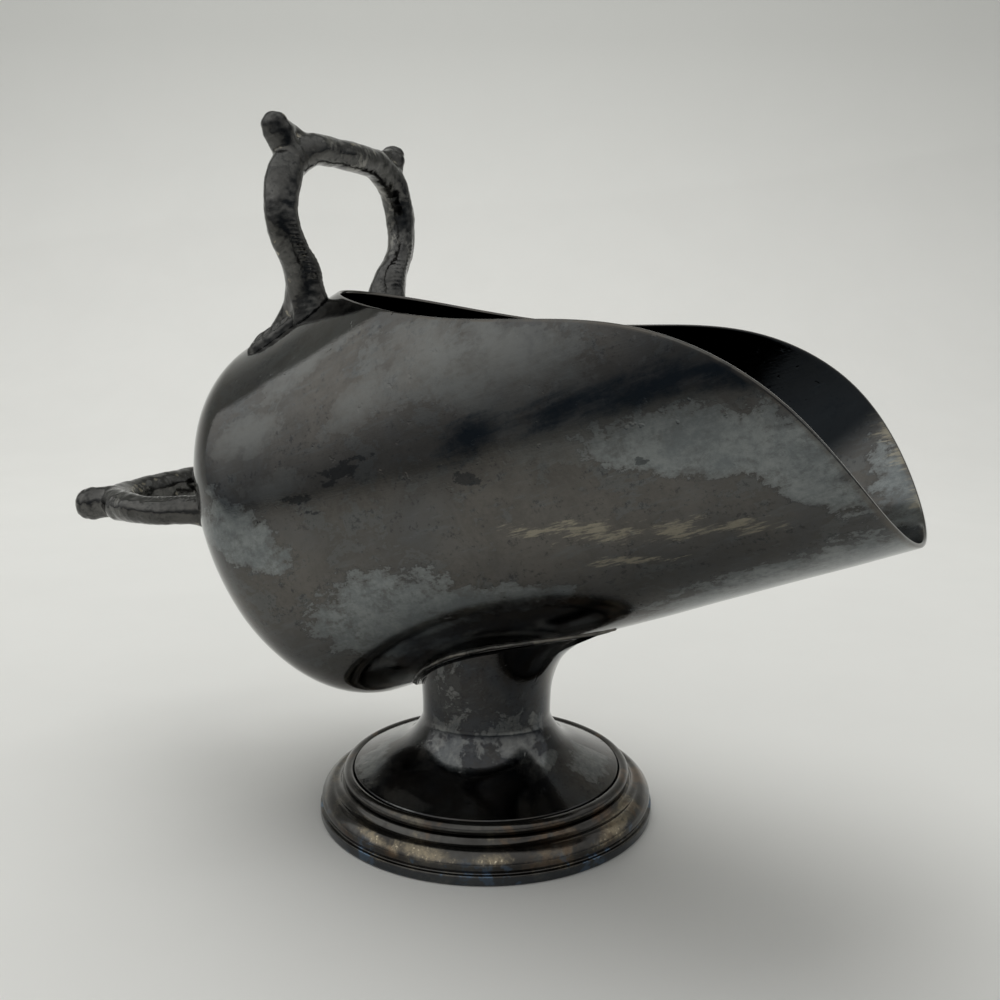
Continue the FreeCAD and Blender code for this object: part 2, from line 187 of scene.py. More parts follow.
# ---- overhead light, metres and watts ----
LIGHT_PLACE = (*(VIEW_ALONG * 0.36 - VIEW_ACROSS * 0.14)[:2], 1.2)
LIGHT_SIZE = 1.1
LIGHT_POWER = 9.4
LIGHT_COLOUR = (1.0, 1.0, 0.985)


# ---- small helpers ----

def smooth_step(t):
    t = np.clip(t, 0.0, 1.0)
    return t * t * (3 - 2 * t)


def smooth_min(a, b, k):
    """Union of two distance fields with a fillet of about k."""
    h = np.clip(0.5 + 0.5 * (b - a) / k, 0.0, 1.0)
    return b + (a - b) * h - k * h * (1 - h)


def smooth_max(a, b, k):
    return -smooth_min(-a, -b, k)


def bell(v, centre, width):
    return np.exp(-((v - centre) / width) ** 2)


def unit(v):
    return v / np.maximum(np.linalg.norm(v, axis=-1, keepdims=True), 1e-12)


def clamped_spline(points, first, last, count):
    """Points along a cubic through the given points, with unit end directions."""
    p = np.array(points, float)
    t = np.concatenate([[0], np.cumsum(np.linalg.norm(np.diff(p, axis=0), axis=1))])
    h = np.diff(t)
    n = len(p)
    a = np.zeros((n, n))
    b = np.zeros((n, p.shape[1]))
    a[0, 0] = a[-1, -1] = 1
    b[0] = np.array(first, float) / np.linalg.norm(first)
    b[-1] = np.array(last, float) / np.linalg.norm(last)
    for i in range(1, n - 1):
        a[i, i - 1] = h[i]
        a[i, i] = 2 * (h[i - 1] + h[i])
        a[i, i + 1] = h[i - 1]
        b[i] = 3 * (h[i] * (p[i] - p[i - 1]) / h[i - 1] + h[i - 1] * (p[i + 1] - p[i]) / h[i])
    d = np.linalg.solve(a, b)
    u = np.linspace(0, t[-1], count)
    k = np.clip(np.searchsorted(t, u, side="right") - 1, 0, n - 2)
    s = ((u - t[k]) / h[k])[:, None]
    hk = h[k][:, None]
    return ((2 * s ** 3 - 3 * s ** 2 + 1) * p[k] + (s ** 3 - 2 * s ** 2 + s) * hk * d[k]
            + (-2 * s ** 3 + 3 * s ** 2) * p[k + 1] + (s ** 3 - s ** 2) * hk * d[k + 1])


def natural_spline(points, count):
    p = np.array(points, float)
    return clamped_spline(p, p[1] - p[0], p[-1] - p[-2], count)


NOISE_TABLE = unit(np.random.RandomState(7).normal(size=(256, 3)))


def noise_at(points, scale, seed=0.0):
    """Gradient noise, about -1 to 1, at points in mm; scale is the size of a feature in mm."""
    p = np.asarray(points, float) / scale + np.array([13.7, 7.1, 3.3]) * (seed + 1)
    cell = np.floor(p).astype(np.int64)
    f = p - cell
    u = f ** 3 * (f * (f * 6 - 15) + 10)
    total = np.zeros(len(p))
    for corner in np.ndindex(2, 2, 2):
        at = cell + corner
        key = (at[:, 0] * 73856093) ^ (at[:, 1] * 19349663) ^ (at[:, 2] * 83492791)
        slope = NOISE_TABLE[(key ^ (key >> 11)) & 255]
        weight = np.prod(np.where(corner, u, 1 - u), axis=1)
        total += weight * ((f - corner) * slope).sum(1)
    return total * 1.6


def make_object(name, verts, faces, node):
    """A mesh in metres that stands for one CAD node and rides on the part's body."""
    mesh = bpy.data.meshes.new(name)
    mesh.from_pydata((np.asarray(verts, float) * MM).tolist(), [], faces)
    mesh.validate()
    mesh.polygons.foreach_set("use_smooth", [True] * len(mesh.polygons))
    mesh.update()
    piece = bpy.data.objects.new(name, mesh)
    bpy.context.scene.collection.objects.link(piece)
    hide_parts(node)
    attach(piece, BODY)
    return piece


def set_attribute(piece, name, values):
    attribute = piece.data.attributes.new(name, "FLOAT", "POINT")
    attribute.data.foreach_set("value", np.asarray(values, np.float32))


def mesh_points(piece):
    co = np.zeros(len(piece.data.vertices) * 3)
    piece.data.vertices.foreach_get("co", co)
    return co.reshape(-1, 3) / MM


def ring_faces(rows, columns, join_ends=False):
    """Quads between closed rows of vertices stored row by row; join_ends joins last row to first."""
    faces = []
    for r in range(rows if join_ends else rows - 1):
        a, b = r * columns, (r + 1) % rows * columns
        for c in range(columns):
            d = (c + 1) % columns
            faces.append((a + c, a + d, b + d, b + c))
    return faces


# ---- the bowl as a form ----

def bowl_sizes(s):
    """Half height and half width of the barrel at a distance along its axis."""
    high = BACK_HALF_HEIGHT + (MOUTH_HALF_HEIGHT - BACK_HALF_HEIGHT) * smooth_step(s / BARREL_RUN)
    return high, HALF_GIRTH - high


def to_bowl(p):
    """From the part's frame to distance along the bowl's axis, side and height."""
    q = np.asarray(p, float) - BOWL_CENTRE
    along = q[..., 0] * cos(AXIS_TILT) + q[..., 2] * sin(AXIS_TILT)
    up = -q[..., 0] * sin(AXIS_TILT) + q[..., 2] * cos(AXIS_TILT)
    return along, q[..., 1], up


def from_bowl(along, side, up):
    x = along * cos(AXIS_TILT) - up * sin(AXIS_TILT)
    z = along * sin(AXIS_TILT) + up * cos(AXIS_TILT)
    return np.stack([x, side + np.zeros_like(x), z], -1) + BOWL_CENTRE


def bowl_distance(p):
    """Distance outside the closed bowl form, near its surface; negative inside."""
    s, y, h = to_bowl(p)
    high, wide = bowl_sizes(np.maximum(s, 0))
    behind = np.maximum(-s, 0) / BACK_DEPTH
    q = behind ** BACK_FULLNESS + (h / high) ** 2 + (y / wide) ** 2
    slope_s = BACK_FULLNESS * behind ** (BACK_FULLNESS - 1) / BACK_DEPTH
    slope = np.sqrt(slope_s ** 2 + (2 * h / high ** 2) ** 2 + (2 * y / wide ** 2) ** 2)
    return (q - 1) / np.maximum(slope, 1e-6)


def bowl_normal(p):
    step = 0.05
    axes = np.eye(3) * step
    slope = [bowl_distance(p + a) - bowl_distance(p - a) for a in axes]
    return unit(np.stack(slope, -1))


# ---- bowl sheet ----

def rim_height_line():
    """The rim seen from the side, as x and z, carried straight on past both ends."""
    line = clamped_spline(RIM_POINTS, RIM_SLOPES[0], RIM_SLOPES[1], 400)
    before = line[0] - np.array(RIM_SLOPES[0]) * RIM_OVERRUN
    after = line[-1] + np.array(RIM_SLOPES[1]) * RIM_OVERRUN
    line = np.vstack([before, line, after])
    return line[:, 0], line[:, 1]


def bowl_meridian(angle):
    """Dense points of one meridian of the bowl, from the middle of its back to beyond the lip."""
    a = np.radians(np.linspace(90, 0, 260))
    s = -BACK_DEPTH * np.sin(a) ** (2 / BACK_FULLNESS)
    r = np.cos(a)
    high, wide = bowl_sizes(np.zeros(1))
    up = high * r * cos(angle)
    side = wide * r * sin(angle)
    s2 = np.linspace(0, BARREL_LENGTH, 900)[1:]
    high, wide = bowl_sizes(s2)
    s = np.concatenate([s, s2])
    up = np.concatenate([up, high * cos(angle)])
    side = np.concatenate([side, wide * sin(angle)])
    return from_bowl(s, side, up)


def bowl_grid(columns, rows, inset):
    """Outside of the sheet: an array of columns of points from the back to just short of the rim."""
    rim_x, rim_z = rim_height_line()
    grid = np.zeros((columns, rows, 3))
    for c in range(columns):
        line = bowl_meridian(2 * pi * c / columns)
        over = line[:, 2] - np.interp(line[:, 0], rim_x, rim_z)
        start = 200
        cut = start + int(np.argmax(over[start:] > 0))
        share = over[cut - 1] / (over[cut - 1] - over[cut])
        end = line[cut - 1] + (line[cut] - line[cut - 1]) * share
        line = np.vstack([line[:cut], end])
        run = np.concatenate([[0], np.cumsum(np.linalg.norm(np.diff(line, axis=0), axis=1))])
        t = np.linspace(0, 1, rows)
        t = t + 0.35 * t * (1 - t)      # rows close up a little towards the rim
        goal = (run[-1] - inset) * t
        for k in range(3):
            grid[c, :, k] = np.interp(goal, run, line[:, k])
    return grid


def sheet_normals(grid):
    around = np.roll(grid, -1, 0) - np.roll(grid, 1, 0)
    along = np.gradient(grid, axis=1)
    n = unit(np.cross(along, around))
    n[:, 0] = np.array([-cos(AXIS_TILT), 0, -sin(AXIS_TILT)])
    outward = grid - (BOWL_CENTRE + np.array([30 * cos(AXIS_TILT), 0, 30 * sin(AXIS_TILT)]))
    flip = np.where((n * outward).sum(-1, keepdims=True) < 0, -1.0, 1.0)
    return n * flip


def make_bowl_sheet():
    columns, rows = SHEET_COLUMNS, SHEET_ROWS
    grid = bowl_grid(columns, rows, WALL * 0.5)
    normal = sheet_normals(grid)
    flat = grid.reshape(-1, 3)
    wave = noise_at(flat, 34.0, 1) * 0.22 + noise_at(flat, 13.0, 2) * 0.05
    calm = smooth_step(np.linspace(0, 1, rows) * 6)[None, :]
    grid = grid + normal * (wave.reshape(columns, rows) * calm)[..., None]
    # the cut edge, rounded over from outside to inside
    edge_along = unit(np.roll(grid[:, -1], -1, 0) - np.roll(grid[:, -1], 1, 0))
    edge_normal = normal[:, -1]
    edge_out = unit(np.cross(edge_normal, edge_along))
    onward = grid[:, -1] - grid[:, -2]
    edge_out *= np.where((edge_out * onward).sum(-1, keepdims=True) < 0, -1.0, 1.0)
    middle = grid[:, -1] - edge_normal * WALL / 2
    rounds = []
    for a in np.radians(np.linspace(90, -90, 9)):
        swell = np.sign(sin(a)) * abs(sin(a)) ** 0.6 * WALL / 2
        reach = abs(cos(a)) ** 0.6 * WALL / 2
        rounds.append(middle + edge_normal * swell + edge_out * reach)
    inside = grid - normal * WALL
    layers = [grid[:, r] for r in range(1, rows)] + rounds[1:-1]
    layers += [inside[:, r] for r in range(rows - 1, 0, -1)]
    body = np.concatenate(layers)
    verts = np.vstack([grid[:1, 0], body, inside[:1, 0]])
    faces = [tuple(i + 1 for i in f) for f in ring_faces(len(layers), columns)]
    last = 1 + (len(layers) - 1) * columns
    tip = len(verts) - 1
    for c in range(columns):
        d = (c + 1) % columns
        faces.append((0, d + 1, c + 1))
        faces.append((tip, last + c, last + d))
    piece = make_object("bowl_sheet", verts, faces, "body_shell")
    edge = np.zeros(len(verts))
    first = 1 + (rows - 2) * columns
    edge[first:first + columns * (len(rounds))] = 1.0
    set_attribute(piece, "edge", edge)
    inner = np.zeros(len(verts))
    inner[first + columns * (len(rounds) - 2):] = 1.0
    set_attribute(piece, "inside", inner)
    return piece


# ---- turned parts of the foot ----

def turned(name, profile, node, wobble):
    """A closed ring of metal from an outline of radius and height; wobble is its unevenness in mm."""
    p = np.array(profile, float)
    angle = 2 * pi * np.arange(TURNED_COLUMNS) / TURNED_COLUMNS
    verts = np.zeros((len(p), TURNED_COLUMNS, 3))
    verts[..., 0] = p[:, :1] * np.cos(angle)
    verts[..., 1] = p[:, :1] * np.sin(angle)
    verts[..., 2] = p[:, 1:]
    flat = verts.reshape(-1, 3)
    away = flat * np.array([1, 1, 0])
    flat = flat + unit(away) * (noise_at(flat, 9.0, 5) * wobble)[:, None]
    return make_object(name, flat, ring_faces(len(p), TURNED_COLUMNS, join_ends=True), node)


def bend(points, first, last, count):
    return clamped_spline(points, first, last, count).tolist()


def arc(centre, radius, start, end, count):
    out = []
    for a in np.radians(np.linspace(start, end, count)):
        out.append((centre[0] + radius * cos(a), centre[1] + radius * sin(a)))
    return out


def make_moulding():
    edge_r, edge_z = FOOT_RADIUS, FOOT_EDGE_HEIGHT
    land_r, step_r = FOOT_RADIUS - FOOT_LAND, DOME_RADIUS - 1.9
    edge = [(land_r, 0.0), (edge_r - 1.6, 0.0), (edge_r - 0.5, 0.0)]
    edge += arc((edge_r - 0.45, 0.45), 0.45, -80, 0, 5)
    edge += [(edge_r, 1.0), (edge_r, 1.6)]
    edge += arc((edge_r - 0.3, edge_z - 0.3), 0.3, 10, 90, 5)
    crease = [(edge_r - 0.62, edge_z + 0.02), (edge_r - 0.84, edge_z + 0.16), (edge_r - 0.80, edge_z + 0.34)]
    torus = bend([(edge_r - 0.72, edge_z + 0.42), (edge_r - 0.42, edge_z + 1.7),
                  (edge_r - 1.25, edge_z + 3.3), (edge_r - 2.8, edge_z + 4.25)], (0.5, 0.8), (-1, 0.12), 22)
    cove = bend([(RING_TOP_RADIUS + 2.05, edge_z + 4.22), (RING_TOP_RADIUS + 1.1, RING_TOP_Z - 1.05),
                 (RING_TOP_RADIUS + 0.3, RING_TOP_Z - 0.15)], (-1, -0.35), (-0.45, 0.9), 12)
    ledge = [(RING_TOP_RADIUS, RING_TOP_Z), (step_r, RING_TOP_Z), (step_r, RING_TOP_Z - 1.3),
             (land_r - 0.1, RING_TOP_Z - 4.4)]
    outline = edge + crease + torus + cove + ledge
    return turned("foot_moulding", outline, "foot_rim_ring", 0.03)


def make_foot_dome():
    outer = [(NECK_RADIUS, NECK_TOP_Z), (NECK_RADIUS, NECK_TOP_Z - 0.02)]
    outer += bend([(NECK_RADIUS, NECK_TOP_Z - 0.05), (NECK_RADIUS + 1.2, NECK_TOP_Z - 3.4),
                   (NECK_RADIUS + 3.9, NECK_TOP_Z - 6.6), (NECK_RADIUS + 8.4, NECK_TOP_Z - 9.1),
                   (DOME_RADIUS - 0.35, DOME_EDGE_Z + 0.1)], (-0.02, -1), (1, -0.42), 70)
    roll = arc((DOME_RADIUS - 0.42, DOME_EDGE_Z - 0.32), 0.42, 72, 0, 6) + [(DOME_RADIUS, RING_TOP_Z)]
    inner = [(r - FOOT_SHEET, z - 0.7) for r, z in reversed(outer[:-2])]
    inner = [(DOME_RADIUS - FOOT_SHEET, RING_TOP_Z)] + [(r, max(z, RING_TOP_Z + 0.4)) for r, z in inner]
    inner[-1] = (NECK_RADIUS - FOOT_SHEET, NECK_TOP_Z)
    return turned("foot_dome", outer + roll + inner, "pedestal_foot", 0.05)


def make_bead():
    """The wire between moulding and dome, seen as a rounded step with a fine line on each side."""
    sunk = BEAD_WIRE_RADIUS - 0.15
    profile = arc((DOME_RADIUS + sunk, RING_TOP_Z + sunk), BEAD_WIRE_RADIUS, -62, 152, 26)
    profile += [(DOME_RADIUS + 0.02, RING_TOP_Z + 0.02)]
    return turned("foot_bead", profile, "foot_bead_wire", 0.04)


# ---- saddle between foot and bowl ----

def saddle_point(share, angle, grow=0.0):
    """Point of the saddle's outside at a share of its height; angle 0 looks to the lip."""
    side = NECK_RADIUS + SADDLE_SIDE_GROWTH * share ** 2 + grow
    front = np.maximum(NECK_RADIUS + (SADDLE_FRONT_REACH - NECK_RADIUS) * share ** 3.2, side - grow) + grow
    c, s = np.cos(angle), np.sin(angle)
    x = np.where(c > 0, front * c, side * c)
    return np.stack([x, side * s, NECK_TOP_Z + (SADDLE_FRONT_Z - NECK_TOP_Z) * share], -1)


def saddle_top_share(angle):
    """Share of the height at which the saddle's outside meets the bowl, for each angle."""
    share = np.linspace(0, 1.25, 500)[:, None] + 0 * angle[None, :]
    field = bowl_distance(saddle_point(share, angle[None, :] + 0 * share))
    k = np.maximum(np.argmax(field < 0, axis=0), 1)
    c = np.arange(len(angle))
    a, b = field[k - 1, c], field[k, c]
    return share[k - 1, c] + (share[k, c] - share[k - 1, c]) * a / (a - b)


def along_bowl(outward, normal):
    """The part of a direction that runs along the bowl's surface."""
    return unit(outward - normal * (outward * normal).sum(-1, keepdims=True))


def make_saddle():
    angle = 2 * pi * np.arange(TURNED_COLUMNS) / TURNED_COLUMNS
    top = saddle_top_share(angle)
    stem = [saddle_point(top * t, angle) for t in np.concatenate([[0.0, 0.0008], np.linspace(0.002, 1, 60)])]
    seam = stem[-1]
    leaning = (seam - saddle_point(top * 0.0, angle)) * np.array([1, 1, 0])
    normal = bowl_normal(seam)
    lip = along_bowl(unit(leaning + seam * np.array([0.6, 1, 0])), normal)
    # the plate's edge turns out along the bowl in place of the stem's last rows
    width = 0.85 + 0.15 * noise_at(seam, 6.0, 3)
    layers = stem[:-3]
    for reach, height in SADDLE_LIP:
        p = seam + lip * (reach * width)[:, None]
        layers.append(p - normal * bowl_distance(p)[:, None] + normal * height)
    layers += [saddle_point(top * t * 0.98, angle, -SADDLE_SHEET) for t in np.linspace(1, 0, 8)]
    faces = ring_faces(len(layers), TURNED_COLUMNS, join_ends=True)
    return make_object("saddle_plate", np.concatenate(layers), faces, "saddle_flange")


def make_solder_run():
    """An uneven bead of solder that follows the edge of the saddle round the bowl."""
    angle = 2 * pi * np.arange(SOLDER_COLUMNS) / SOLDER_COLUMNS
    seam = saddle_point(saddle_top_share(angle), angle)
    normal = bowl_normal(seam)
    lip = along_bowl(unit(seam * np.array([1, 1, 0]) + 1e-9), normal)
    centre = seam + lip * (SOLDER_REACH + 0.35 * noise_at(seam, 2.6, 8))[:, None]
    centre = centre - normal * bowl_distance(centre)[:, None] + normal * 0.05
    radius = SOLDER_RADIUS + 0.16 * noise_at(seam, 1.7, 9)
    verts = []
    for c in range(SOLDER_COLUMNS):
        for k in range(SOLDER_AROUND):
            a = 2 * pi * k / SOLDER_AROUND
            verts.append(centre[c] + radius[c] * (lip[c] * cos(a) * 1.5 + normal[c] * sin(a)))
    faces = ring_faces(SOLDER_COLUMNS, SOLDER_AROUND, join_ends=True)
    return make_object("saddle_solder_run", verts, faces, "saddle_solder")


# ---- castings, as distance fields turned into meshes ----

def field_mesh(name, field, low, high, voxel, node, place=None):
    """Mesh of the zero surface of a distance field given in mm; far from it a coarse pass is enough."""
    coarse = np.ceil((high - low) / (voxel * FIELD_STEP)).astype(int) + 1
    middle = (FIELD_STEP - 1) / 2
    axes = [low[k] + voxel * (FIELD_STEP * np.arange(coarse[k]) + middle) for k in range(3)]
    points = np.stack(np.meshgrid(*axes, indexing="ij"), -1).reshape(-1, 3)
    values = field(points).reshape(tuple(coarse)).astype(np.float32)
    for k in range(3):
        values = np.repeat(values, FIELD_STEP, axis=k)
    near = np.argwhere(np.abs(values) < voxel * FIELD_STEP * 1.15 + 0.6)
    exact = np.empty(len(near))
    share = 60000                   # points worked out at a time, to save memory
    for start in range(0, len(near), share):
        exact[start:start + share] = field(low + voxel * near[start:start + share])
    values[near[:, 0], near[:, 1], near[:, 2]] = exact
    values = np.clip(values, -FIELD_LIMIT, FIELD_LIMIT).astype(np.float32)
    grid = openvdb.FloatGrid(FIELD_LIMIT)
    grid.copyFromArray(values)
    points, triangles, quads = grid.convertToPolygons(isovalue=0.0, adaptivity=0.0)
    points = points * voxel + low
    if place is not None:
        points = place(points)
    faces = [tuple(int(i) for i in f[::-1]) for f in (*quads, *triangles)]
    return make_object(name, points, faces, node)


def handle_line(run, bow):
    """Half of a handle's centre line, from below its foot to the middle of the crossbar."""
    w, b = HANDLE_HALF_SPAN, HANDLE_BASE_HALF_SPAN
    side = [(0, b - 1.6, -5.0), (0, b + 0.2, 2.0), (0, b + 3.4, run * 0.30), (0, w - 0.8, run * 0.46),
            (0, w, run * 0.60), (0, w - 0.8, run * 0.75), (bow * 0.10, w - 3.4, run * 0.895),
            (bow * 0.40, w * 0.62, run * 0.985), (bow * 0.80, w * 0.32, run),
            (bow, 0, run), (bow * 0.80, -w * 0.32, run)]
    line = natural_spline(side, 56)
    return line[line[:, 1] > -2.5]


def limb_distance(p, line, radius, flat=1.0):
    """Distance to a limb round a polyline whose radius changes, and the unit direction away from its
    centre line; flat widens it along X."""
    line, radius = np.array(line, float), np.array(radius, float)
    q = p * np.array([1 / flat, 1, 1])
    c = line * np.array([1 / flat, 1, 1])
    best = np.full(len(p), 1e9)
    away = np.zeros_like(p)
    for k in range(len(c) - 1):
        a, d = c[k], c[k + 1] - c[k]
        t = np.clip(((q - a) @ d) / (d @ d), 0, 1)
        v = q - a - t[:, None] * d
        r = radius[k] + (radius[k + 1] - radius[k]) * t
        f = np.linalg.norm(v, axis=1) - r
        near = f < best
        best[near] = f[near]
        away[near] = v[near]
    return best, unit(away)


def join_limb(body, m, line, radius, fillet, flat=1.0):
    return smooth_min(body, limb_distance(m, line, radius, flat)[0], fillet)


def handle_bail(m, run, bow):
    """Legs and crossbar, with a hollow, a ridge and two rows of fine beads down the front of each leg."""
    line = handle_line(run, bow)
    height = line[:, 2] / run
    radius = LEG_RADIUS + 0.9 * np.maximum(0, 1 - height / 0.22) ** 2
    radius -= (LEG_RADIUS - CROSSBAR_RADIUS) * smooth_step((height - 0.82) / 0.16)
    body, away = limb_distance(m, line, radius, 1.04)
    z = m[:, 2] / run
    leg = smooth_step((z - 0.10) / 0.10) * smooth_step((0.80 - z) / 0.15)
    front = np.clip(away[:, 0], 0, 1)
    lateral = away[:, 1]
    body = body + 0.42 * (bell(lateral, 0.30, 0.40) * smooth_step(front * 2)) * leg
    facing = smooth_step(front * 2.5)
    outer_row = bell(lateral, 0.10, 0.30) * facing * smooth_step((0.56 - z) / 0.08)
    inner_row = bell(lateral, -0.55, 0.30) * facing * smooth_step((0.42 - z) / 0.08)
    beads = np.maximum(outer_row, inner_row)
    body = body - 0.17 * beads * leg * (0.5 + 0.5 * np.cos(2 * pi * m[:, 2] / 0.95))
    return body - 0.25 * (bell(lateral, -0.62, 0.14) * front) * leg


def handle_field(p, run, fall, heel_rise, bud_share, bow, bar_depth):
    """Distance field of a whole handle in its own frame; it mirrors across the XZ plane."""
    m = p.copy()
    m[:, 1] = np.abs(m[:, 1])
    body = handle_bail(m, run, bow)
    w, b = HANDLE_HALF_SPAN, HANDLE_BASE_HALF_SPAN
    # thumb bud on the shoulder, with a waist and a collar, then the web and gusset beside it
    root = np.array([-0.1, w - 3.7, run - 2.0])
    lean = unit(np.array([-0.10, 0.42, 0.88]))
    t = np.array([0.0, 0.16, 0.30, 0.45, 0.60, 0.68])
    bud_line = root + lean * (t * THUMB_LENGTH)[:, None] * (1.25 - 0.25 * bud_share)
    bud_radius = np.array([2.55, 2.60, 2.62, 2.78, 2.50, 1.80]) * bud_share
    body = join_limb(body, m, bud_line, bud_radius, 0.7, 1.28)
    body = join_limb(body, m, [(0.0, w - 3.6, run + 2.9), (0.0, w - 8.0, run + 1.9)], (1.9, 1.4), 0.9)
    gusset_line = [(0.3, w - 0.6, run * 0.66), (bow * 0.3, w - 3.2, run * 0.86),
                   (bow * 0.6, w * 0.52, run - 0.4)]
    body = join_limb(body, m, gusset_line, (2.7, 3.0, 2.7), 1.5)
    # heel that runs down to the tip of the leaf
    back = -LEAF_LENGTH * LEAF_BACK_SHARE + 1.6
    tip = np.array([back * cos(LEAF_SPLAY), b - back * sin(-LEAF_SPLAY), 1.3 - fall])
    top = np.array([-0.3, b + 1.0, heel_rise])
    elbow = (tip + top) / 2 + np.array([1.1, 0, -1.0])
    body = join_limb(body, m, natural_spline([top, elbow, tip], 8), np.linspace(2.9, 1.1, 8), 2.6)
    if bar_depth:
        bar_line = [(-bar_depth * 0.3, w - 0.9, run * 0.80), (bow - bar_depth, w * 0.62, run * 0.975),
                    (bow - bar_depth, 0.0, run - 0.3)]
        body = join_limb(body, m, bar_line, (2.6, 2.8, 2.8), 1.2)
    return body


def handle_skin(p, seed):
    """Unevenness of the cast surface, mm."""
    waves = ((5.5, 0.18), (1.9, 0.10), (0.9, 0.04))
    return sum(noise_at(p, size, seed + k) * height for k, (size, height) in enumerate(waves))


def roughen(piece, amount_function):
    """Moves each vertex along its normal by a function of the points in mm."""
    co = mesh_points(piece)
    normal = np.zeros(co.size)
    piece.data.vertices.foreach_get("normal", normal)
    co = co + normal.reshape(-1, 3) * amount_function(co)[:, None]
    piece.data.vertices.foreach_set("co", (co * MM).ravel())
    piece.data.update()


def turn(axis, angle):
    return np.array(Matrix.Rotation(angle, 3, axis))


def stand_on_top(p):
    return p @ turn("Y", -TOP_HANDLE_LEAN).T + TOP_HANDLE_BASE


def top_blade(p):
    """Leaf blades stand straight up."""
    return p - TOP_HANDLE_BASE


REAR_TURN = turn("X", REAR_HANDLE_ROLL) @ turn("Y", -pi / 2)


def stand_on_back(p):
    return p @ REAR_TURN.T + REAR_HANDLE_BASE


def rear_blade(p):
    return (p - REAR_HANDLE_BASE) @ REAR_TURN


def make_handle(node, run, shape, stand, seed):
    """A cast handle, cut off where it meets the bowl."""
    def field(p):
        above = -(bowl_distance(stand(p)) + CASTING_SINK)
        return np.maximum(handle_field(p, run, **shape), above)
    low, high = np.array([-19.5, -27.5, -12.0]), np.array([6.5, 27.5, run + 8.5])
    piece = field_mesh(node + "_casting", field, low, high, HANDLE_VOXEL, node, stand)
    smooth_mesh(piece)
    roughen(piece, lambda q: handle_skin(q, seed))
    return piece


def smooth_mesh(piece):
    modifier = piece.modifiers.new("smooth", "LAPLACIANSMOOTH")
    modifier.iterations = 2
    modifier.lambda_factor = 0.35
    modifier.use_volume_preserve = True
    graph = bpy.context.evaluated_depsgraph_get()
    mesh = bpy.data.meshes.new_from_object(piece.evaluated_get(graph))
    old = piece.data
    piece.modifiers.clear()
    piece.data = mesh
    name = old.name
    bpy.data.meshes.remove(old)
    mesh.name = name


def leaf_field(p, side, blade):
    """Leaf that lies on the bowl: raised rim, middle rib, side veins and hollows between."""
    q = blade(p)
    a = -side * LEAF_SPLAY
    y = q[:, 1] - side * HANDLE_BASE_HALF_SPAN
    u = q[:, 0] * cos(a) + y * sin(a)
    v = -q[:, 0] * sin(a) + y * cos(a)
    back = -LEAF_LENGTH * LEAF_BACK_SHARE
    front = back + LEAF_LENGTH
    t = (u - back) / LEAF_LENGTH
    inside = np.clip(t, 0.0, 1.0)
    half = LEAF_WIDTH / 2 * (np.sin(pi * inside ** 0.62) ** 0.55 * 0.98 + 0.02)
    half = half * (1 + 0.05 * np.cos(2 * pi * u / 3.1))
    across = np.abs(v) / np.maximum(half, 0.15)
    outline = np.maximum((across - 1) * np.minimum(half, 2.5), np.maximum(back - u, u - front))
    rim = bell(across, 0.86, 0.13)
    rib = bell(v, 0.0, 0.55)
    veins = 0.5 + 0.5 * np.cos(2 * pi * (u + 0.7 * np.abs(v)) / 2.3)
    height = 0.95 + 0.50 * rim + 0.75 * rib + 0.22 * veins * (1 - rib) * (1 - rim)
    height = height * (0.55 + 0.45 * smooth_step(t / 0.12)) * (0.5 + 0.5 * smooth_step((1 - t) / 0.15))
    d = bowl_distance(p)
    return smooth_max(smooth_max(outline, d - height, 0.35), -(d + 0.25), 0.1)


def make_leaf(node, side, blade, seed):
    low, high = (np.array(v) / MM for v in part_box(node))
    margin = 1.2
    piece = field_mesh(node + "_casting", lambda p: leaf_field(p, side, blade), low - margin, high + margin,
                       LEAF_VOXEL, node)
    roughen(piece, lambda q: noise_at(q, 1.5, seed) * 0.05)
    return piece


# ---- materials ----

def tint(r, g, b):
    return (r, g, b, 1.0)


HAZE_TINT = tint(0.160, 0.163, 0.157)
DEEP_TINT = tint(0.012, 0.020, 0.029)
THICK_TINT = tint(0.018, 0.021, 0.025)
INNER_SHADE_TINT = tint(0.006, 0.008, 0.010)
# colour of the painted shade deep inside the bowl
EDGE_TINT = tint(0.115, 0.106, 0.094)
DIRT_TINT = tint(0.016, 0.017, 0.018)

